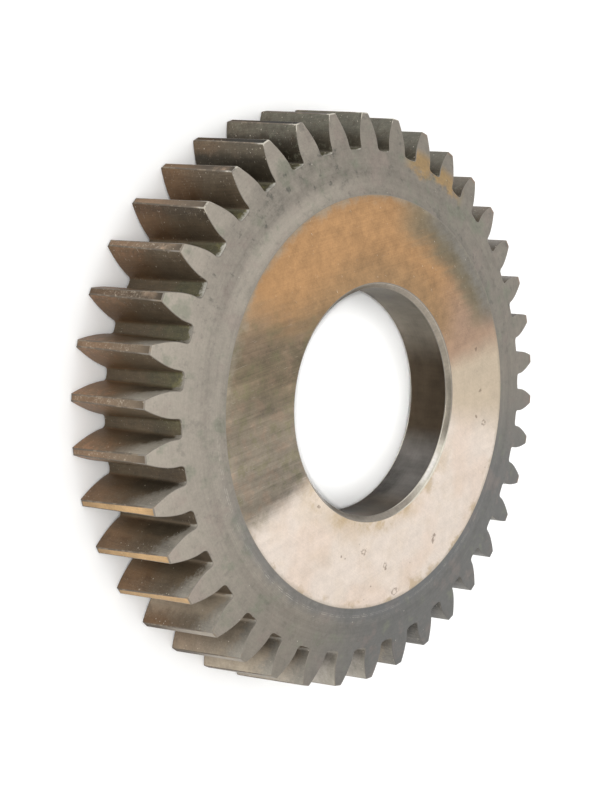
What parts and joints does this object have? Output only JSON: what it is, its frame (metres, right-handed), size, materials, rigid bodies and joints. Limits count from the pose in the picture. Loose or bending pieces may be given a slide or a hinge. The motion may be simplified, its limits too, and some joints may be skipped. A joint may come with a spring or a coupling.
{
  "type": "gear shaper cutter",
  "caption": "Disc gear shaper cutter: a toothed steel ring with relieved involute teeth, a ground seating face, a plain bore and a nut recess on the cutting side.",
  "frame": {"origin": "on the bore axis, in the plane of the cutting tips, which is the bottom of the cutter as it lies", "axes": "+Z along the bore axis, towards the ground reference face; +X through the middle of a tooth"},
  "size_m": [0.0822, 0.082, 0.015],
  "materials": {
    "high_speed_steel": "ground seating face, matte grey rim, browned tooth flanks"
  },
  "bodies": {
    "root": {"shaper_cutter": "high_speed_steel"}
  },
  "joints": []
}
